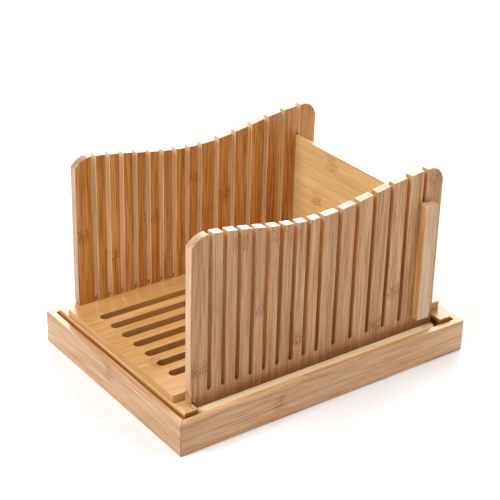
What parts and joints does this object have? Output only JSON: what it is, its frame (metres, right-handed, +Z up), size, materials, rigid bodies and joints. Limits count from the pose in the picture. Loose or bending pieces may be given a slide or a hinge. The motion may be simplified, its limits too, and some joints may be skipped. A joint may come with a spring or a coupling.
{
  "type": "bread slicer guide",
  "caption": "Bamboo bread slicer: two tall comb guides with knife slots stand in a slotted board base, locked by a sliding back board, over a shallow crumb tray.",
  "frame": {"origin": "on the table, under the middle of the crumb tray", "axes": "+X along the loaf from the open front end to the back board, +Y from the right guide to the left guide, +Z up"},
  "size_m": [0.36, 0.26, 0.2156],
  "materials": {
    "tray_wall": "smooth oiled bamboo",
    "tray_floor": "smooth oiled bamboo",
    "joint_wood": "plain bamboo",
    "cutting_board": "smooth oiled bamboo",
    "base_frame": "smooth oiled bamboo",
    "corner_stop": "smooth oiled bamboo",
    "guide": "smooth oiled bamboo",
    "back_panel": "smooth oiled bamboo",
    "cleat": "smooth oiled bamboo",
    "screw": "zinc-plated steel"
  },
  "bodies": {
    "crumb_tray": {"tray_front_wall": "tray_wall", "tray_rear_wall": "tray_wall", "tray_right_wall": "tray_wall", "tray_left_wall": "tray_wall", "tray_floor": "tray_floor", "tray_corner_spline_1": "joint_wood", "tray_corner_spline_2": "joint_wood", "tray_corner_spline_3": "joint_wood", "tray_corner_spline_4": "joint_wood"},
    "slicer_base": {"cutting_board": "cutting_board", "front_batten": "base_frame", "rear_batten": "base_frame", "left_rail": "base_frame", "right_rail": "base_frame", "left_corner_stop": "corner_stop", "right_corner_stop": "corner_stop", "left_rail_dowel_1": "joint_wood", "left_rail_dowel_2": "joint_wood", "left_rail_dowel_3": "joint_wood", "left_rail_dowel_4": "joint_wood", "right_rail_dowel_1": "joint_wood", "right_rail_dowel_2": "joint_wood", "right_rail_dowel_3": "joint_wood", "right_rail_dowel_4": "joint_wood", "front_batten_screw_1": "screw", "front_batten_screw_2": "screw", "front_batten_screw_3": "screw", "front_batten_screw_4": "screw", "rear_batten_screw_1": "screw", "rear_batten_screw_2": "screw", "rear_batten_screw_3": "screw", "rear_batten_screw_4": "screw"},
    "left_guide": {"left_guide": "guide"},
    "right_guide": {"right_guide": "guide"},
    "back_board": {"back_panel": "back_panel", "left_cleat": "cleat", "right_cleat": "cleat"}
  },
  "joints": [
    {"name": "slicer_lift", "type": "slide", "parent": "crumb_tray", "child": "slicer_base", "axis": [0, 0, 1], "range_m": [0, 0.06]},
    {"name": "left_guide_lift", "type": "slide", "parent": "slicer_base", "child": "left_guide", "axis": [0, 0, 1], "range_m": [0, 0.05]},
    {"name": "right_guide_lift", "type": "slide", "parent": "slicer_base", "child": "right_guide", "axis": [0, 0, 1], "range_m": [0, 0.05]},
    {"name": "back_board_lift", "type": "slide", "parent": "left_guide", "child": "back_board", "axis": [0, 0, 1], "range_m": [0, 0.17]}
  ],
  "couplings": [
    {"joint": "right_guide_lift", "follows": "left_guide_lift", "ratio": 1}
  ]
}
